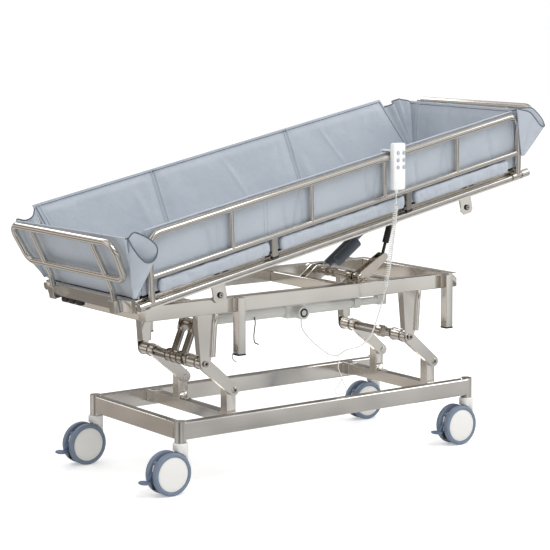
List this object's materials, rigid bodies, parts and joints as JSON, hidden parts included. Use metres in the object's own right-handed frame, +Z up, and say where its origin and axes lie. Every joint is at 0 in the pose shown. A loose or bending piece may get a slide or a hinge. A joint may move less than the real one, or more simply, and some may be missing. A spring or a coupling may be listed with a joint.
{
  "type": "shower trolley",
  "caption": "Height-adjustable tilting shower trolley: padded tub with fold-down side guards on a parallelogram lift over braked castors, worked by a corded handset.",
  "frame": {"origin": "on the floor, under the centre of the object's box as it stands in the picture's pose", "axes": "+Z up; +X along the trolley towards the raised head end; the guard that carries the handset is on the -Y side"},
  "size_m": [1.941, 0.7984, 1.2978],
  "materials": {
    "stainless": "satin brushed stainless steel tube and sheet",
    "polished": "polished shafts and tubes",
    "ivory_plastic": "off-white moulded castor housing",
    "tyre": "slate blue tread on an off-white disc",
    "pedal": "blue brake pedal",
    "grey_metal": "light grey actuator housing",
    "slate_plastic": "blue-grey actuator housing",
    "black_plastic": "black",
    "vinyl": "blue-grey coated fabric over foam",
    "white_plastic": "white handset",
    "button": "pale grey button",
    "white_cord": "white cord",
    "grey_cord": "grey cord",
    "black_cord": "black cord"
  },
  "bodies": {
    "base": {"base_rail_near": "stainless", "base_rail_far": "stainless", "base_end_rail": "stainless", "base_cross_left": "stainless", "base_cross_right": "stainless", "cord_tail": "white_cord"},
    "swivel_foot_near": {"castor_fork_foot_near": "ivory_plastic"},
    "wheel_foot_near": {"castor_wheel_foot_near": "tyre"},
    "pedal_foot_near": {"castor_pedal_foot_near": "pedal"},
    "swivel_foot_far": {"castor_fork_foot_far": "ivory_plastic"},
    "wheel_foot_far": {"castor_wheel_foot_far": "tyre"},
    "pedal_foot_far": {"castor_pedal_foot_far": "pedal"},
    "swivel_head_near": {"castor_fork_head_near": "ivory_plastic"},
    "wheel_head_near": {"castor_wheel_head_near": "tyre"},
    "pedal_head_near": {"castor_pedal_head_near": "pedal"},
    "swivel_head_far": {"castor_fork_head_far": "ivory_plastic"},
    "wheel_head_far": {"castor_wheel_head_far": "tyre"},
    "pedal_head_far": {"castor_pedal_head_far": "pedal"},
    "lift_left": {"lift_arm_left_near": "stainless", "lift_arm_left_far": "stainless", "lift_tube_left": "polished"},
    "lift_right": {"lift_arm_right_near": "stainless", "lift_arm_right_far": "stainless", "lift_tube_right": "polished"},
    "lift_frame": {"frame_rail_near": "stainless", "frame_rail_far": "stainless", "frame_cross_foot": "stainless", "frame_cross_left": "stainless", "frame_cross_right": "stainless", "frame_cross_head": "stainless", "frame_cross_mid": "stainless", "lift_actuator": "grey_metal", "cord_lead": "white_cord", "cord_bond": "grey_cord", "cord_release": "black_cord"},
    "lift_ram": {"lift_actuator_rod": "polished"},
    "deck": {"deck_side_near": "stainless", "deck_side_far": "stainless", "deck_end_foot": "stainless", "deck_end_head": "stainless", "deck_pan": "stainless", "tub_liner": "vinyl"},
    "guard_near_side": {"guard_near": "stainless", "tub_wall_near": "vinyl", "handset": "white_plastic", "cord_curly": "white_cord"},
    "guard_far_side": {"guard_far": "stainless", "tub_wall_far": "vinyl"},
    "guard_foot_end": {"guard_foot": "stainless"},
    "guard_head_end": {"guard_head": "stainless"},
    "tilt_crank": {"tilt_shaft": "polished"},
    "tilt_strut": {"tilt_link": "black_plastic"},
    "tilt_case": {"tilt_actuator": "slate_plastic"},
    "tilt_ram": {"tilt_actuator_rod": "polished"},
    "button_1": {"handset_button_1": "button"},
    "button_2": {"handset_button_2": "button"},
    "button_3": {"handset_button_3": "button"},
    "button_4": {"handset_button_4": "button"},
    "button_5": {"handset_button_5": "button"},
    "button_6": {"handset_button_6": "button"}
  },
  "joints": [
    {"name": "castor_swivel_foot_near", "type": "hinge", "parent": "base", "child": "swivel_foot_near", "pos_m": [-0.64696, -0.2689, 0.17], "axis": [0, 0, 1], "continuous": true},
    {"name": "castor_roll_foot_near", "type": "hinge", "parent": "swivel_foot_near", "child": "wheel_foot_near", "pos_m": [-0.69696, -0.2689, 0.075], "axis": [0, 1, 0], "continuous": true},
    {"name": "castor_brake_foot_near", "type": "hinge", "parent": "swivel_foot_near", "child": "pedal_foot_near", "pos_m": [-0.72696, -0.2689, 0.109], "axis": [0, -1, 0], "range_deg": [0, 10]},
    {"name": "castor_swivel_foot_far", "type": "hinge", "parent": "base", "child": "swivel_foot_far", "pos_m": [-0.64696, 0.2971, 0.17], "axis": [0, 0, 1], "continuous": true},
    {"name": "castor_roll_foot_far", "type": "hinge", "parent": "swivel_foot_far", "child": "wheel_foot_far", "pos_m": [-0.69696, 0.2971, 0.075], "axis": [0, 1, 0], "continuous": true},
    {"name": "castor_brake_foot_far", "type": "hinge", "parent": "swivel_foot_far", "child": "pedal_foot_far", "pos_m": [-0.72696, 0.2971, 0.109], "axis": [0, -1, 0], "range_deg": [0, 10]},
    {"name": "castor_swivel_head_near", "type": "hinge", "parent": "base", "child": "swivel_head_near", "pos_m": [0.66904, -0.2689, 0.17], "axis": [0, 0, 1], "continuous": true},
    {"name": "castor_roll_head_near", "type": "hinge", "parent": "swivel_head_near", "child": "wheel_head_near", "pos_m": [0.61904, -0.2689, 0.075], "axis": [0, 1, 0], "continuous": true},
    {"name": "castor_brake_head_near", "type": "hinge", "parent": "swivel_head_near", "child": "pedal_head_near", "pos_m": [0.58904, -0.2689, 0.109], "axis": [0, -1, 0], "range_deg": [0, 10]},
    {"name": "castor_swivel_head_far", "type": "hinge", "parent": "base", "child": "swivel_head_far", "pos_m": [0.66904, 0.2971, 0.17], "axis": [0, 0, 1], "continuous": true},
    {"name": "castor_roll_head_far", "type": "hinge", "parent": "swivel_head_far", "child": "wheel_head_far", "pos_m": [0.61904, 0.2971, 0.075], "axis": [0, 1, 0], "continuous": true},
    {"name": "castor_brake_head_far", "type": "hinge", "parent": "swivel_head_far", "child": "pedal_head_far", "pos_m": [0.58904, 0.2971, 0.109], "axis": [0, -1, 0], "range_deg": [0, 10]},
    {"name": "lift", "type": "hinge", "parent": "base", "child": "lift_left", "pos_m": [-0.41496, 0.0141, 0.329], "axis": [0, -1, 0], "range_deg": [-12, 52], "deforming": ["cord_lead"]},
    {"name": "lift_level", "type": "hinge", "parent": "lift_left", "child": "lift_frame", "pos_m": [-0.54196, 0.0141, 0.437], "axis": [0, -1, 0], "range_deg": [-52.25, 12.25]},
    {"name": "lift_right_arm", "type": "hinge", "parent": "base", "child": "lift_right", "pos_m": [0.51104, 0.0141, 0.329], "axis": [0, -1, 0], "range_deg": [-12.25, 52.25]},
    {"name": "lift_ram_slide", "type": "slide", "parent": "lift_frame", "child": "lift_ram", "axis": [1, 0, 0], "range_m": [-0.10669, 0.025]},
    {"name": "deck_tilt", "type": "hinge", "parent": "lift_frame", "child": "deck", "pos_m": [-0.48594, 0.0141, 0.6746], "axis": [0, -1, 0], "range_deg": [-11.6, 2]},
    {"name": "tilt_crank_turn", "type": "hinge", "parent": "lift_frame", "child": "tilt_crank", "pos_m": [0.19604, 0.0141, 0.672], "axis": [0, -1, 0], "range_deg": [-74.49, 13.05]},
    {"name": "tilt_strut_turn", "type": "hinge", "parent": "deck", "child": "tilt_strut", "pos_m": [0.34604, -0.2009, 0.872], "axis": [0, -1, 0], "range_deg": [-4.89, 1.05]},
    {"name": "tilt_case_turn", "type": "hinge", "parent": "lift_frame", "child": "tilt_case", "pos_m": [0.22604, 0.0581, 0.674], "axis": [0, -1, 0], "range_deg": [-31.57, 5.65]},
    {"name": "tilt_ram_slide", "type": "slide", "parent": "tilt_case", "child": "tilt_ram", "axis": [0.8187, 0, 0.5743], "range_m": [-0.04909, 0.00888]},
    {"name": "guard_near_fold", "type": "hinge", "parent": "deck", "child": "guard_near_side", "pos_m": [0.04566, -0.3019, 0.84497], "axis": [0.9796, 0, 0.2011], "range_deg": [0, 145], "deforming": ["cord_curly"]},
    {"name": "guard_far_fold", "type": "hinge", "parent": "deck", "child": "guard_far_side", "pos_m": [0.04566, 0.3301, 0.84497], "axis": [-0.9796, 0, -0.2011], "range_deg": [0, 145]},
    {"name": "guard_foot_lift", "type": "slide", "parent": "deck", "child": "guard_foot_end", "axis": [-0.2011, 0, 0.9796], "range_m": [0, 0.04]},
    {"name": "guard_head_lift", "type": "slide", "parent": "deck", "child": "guard_head_end", "axis": [-0.2011, 0, 0.9796], "range_m": [0, 0.04]},
    {"name": "button_press_1", "type": "slide", "parent": "guard_near_side", "child": "button_1", "axis": [0, 1, 0], "range_m": [0, 0.0015], "stiffness_N_per_m": 600},
    {"name": "button_press_2", "type": "slide", "parent": "guard_near_side", "child": "button_2", "axis": [0, 1, 0], "range_m": [0, 0.0015], "stiffness_N_per_m": 600},
    {"name": "button_press_3", "type": "slide", "parent": "guard_near_side", "child": "button_3", "axis": [0, 1, 0], "range_m": [0, 0.0015], "stiffness_N_per_m": 600},
    {"name": "button_press_4", "type": "slide", "parent": "guard_near_side", "child": "button_4", "axis": [0, 1, 0], "range_m": [0, 0.0015], "stiffness_N_per_m": 600},
    {"name": "button_press_5", "type": "slide", "parent": "guard_near_side", "child": "button_5", "axis": [0, 1, 0], "range_m": [0, 0.0015], "stiffness_N_per_m": 600},
    {"name": "button_press_6", "type": "slide", "parent": "guard_near_side", "child": "button_6", "axis": [0, 1, 0], "range_m": [0, 0.0015], "stiffness_N_per_m": 600}
  ],
  "couplings": [
    {"joint": "lift_level", "follows": "lift", "ratio": -1},
    {"joint": "lift_right_arm", "follows": "lift", "ratio": 1},
    {"joint": "lift_ram_slide", "follows": "lift", "m_per_rad": -0.117},
    {"joint": "tilt_crank_turn", "follows": "deck_tilt", "ratio": 6.4},
    {"joint": "tilt_strut_turn", "follows": "deck_tilt", "ratio": 0.4},
    {"joint": "tilt_case_turn", "follows": "deck_tilt", "ratio": 2.7},
    {"joint": "tilt_ram_slide", "follows": "deck_tilt", "m_per_rad": 0.24}
  ]
}
